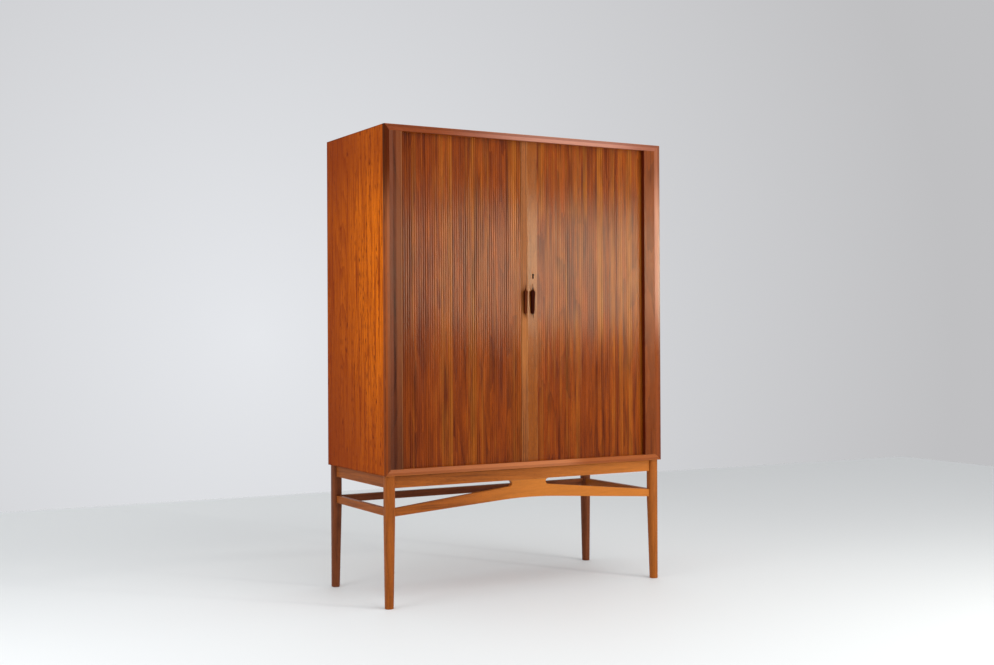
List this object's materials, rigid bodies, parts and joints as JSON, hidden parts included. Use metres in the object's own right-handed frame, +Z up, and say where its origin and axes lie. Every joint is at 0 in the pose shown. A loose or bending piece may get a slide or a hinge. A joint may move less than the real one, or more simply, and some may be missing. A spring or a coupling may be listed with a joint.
{
  "type": "tambour door cabinet",
  "caption": "Upright cabinet on a leg frame, with two slatted curtain doors that slide apart round the front corners, carved pulls, a lock and shelves inside.",
  "frame": {"origin": "on the floor, under the middle of the case", "axes": "+Z up, the doors face -Y, +X to the right as seen from the front"},
  "size_m": [1.1, 0.48, 1.572],
  "materials": {
    "case_teak": "oiled, satin",
    "slat_teak": "oiled, satin",
    "stile_teak": "oiled, satin",
    "post_teak": "oiled, satin",
    "base_teak": "oiled, satin",
    "pull_wood": "polished",
    "inner_wood": "waxed",
    "back_board": "matt",
    "brass": "satin",
    "steel": "satin"
  },
  "bodies": {
    "cabinet": {"back_apron": "base_teak", "back_left_leg": "base_teak", "back_panel": "back_board", "back_right_leg": "base_teak", "back_stretcher": "base_teak", "bottom_panel": "case_teak", "case_screw_1": "steel", "case_screw_2": "steel", "case_screw_3": "steel", "case_screw_4": "steel", "centre_divider": "inner_wood", "front_apron": "base_teak", "front_arch_stretcher": "base_teak", "front_left_leg": "base_teak", "front_right_leg": "base_teak", "inner_back": "inner_wood", "left_curtain_tail": "slat_teak", "left_inner_side": "inner_wood", "left_post": "post_teak", "left_shelf_1": "inner_wood", "left_shelf_1_pin_middle_back": "brass", "left_shelf_1_pin_middle_front": "brass", "left_shelf_1_pin_outer_back": "brass", "left_shelf_1_pin_outer_front": "brass", "left_shelf_2": "inner_wood", "left_shelf_2_pin_middle_back": "brass", "left_shelf_2_pin_middle_front": "brass", "left_shelf_2_pin_outer_back": "brass", "left_shelf_2_pin_outer_front": "brass", "left_side": "case_teak", "left_side_rail": "base_teak", "left_side_stretcher": "base_teak", "right_curtain_tail": "slat_teak", "right_inner_side": "inner_wood", "right_post": "post_teak", "right_shelf_1": "inner_wood", "right_shelf_1_pin_middle_back": "brass", "right_shelf_1_pin_middle_front": "brass", "right_shelf_1_pin_outer_back": "brass", "right_shelf_1_pin_outer_front": "brass", "right_shelf_2": "inner_wood", "right_shelf_2_pin_middle_back": "brass", "right_shelf_2_pin_middle_front": "brass", "right_shelf_2_pin_outer_back": "brass", "right_shelf_2_pin_outer_front": "brass", "right_side": "case_teak", "right_side_rail": "base_teak", "right_side_stretcher": "base_teak", "top_panel": "case_teak"},
    "left_door": {"left_leading_stile": "stile_teak", "left_curtain": "slat_teak", "left_pull": "pull_wood", "strike_plate": "brass"},
    "right_door": {"right_leading_stile": "stile_teak", "right_curtain": "slat_teak", "right_pull": "pull_wood", "lock_face_plate": "brass", "lock_case": "steel"},
    "bolt": {"lock_bolt": "brass"}
  },
  "joints": [
    {"name": "left_door_slide", "type": "slide", "parent": "cabinet", "child": "left_door", "axis": [-1, 0, 0], "range_m": [0, 0.445], "deforming": ["left_curtain"]},
    {"name": "right_door_slide", "type": "slide", "parent": "cabinet", "child": "right_door", "axis": [1, 0, 0], "range_m": [0, 0.445], "deforming": ["right_curtain"]},
    {"name": "lock_bolt_slide", "type": "slide", "parent": "right_door", "child": "bolt", "axis": [-1, 0, 0], "range_m": [0, 0.008]}
  ]
}
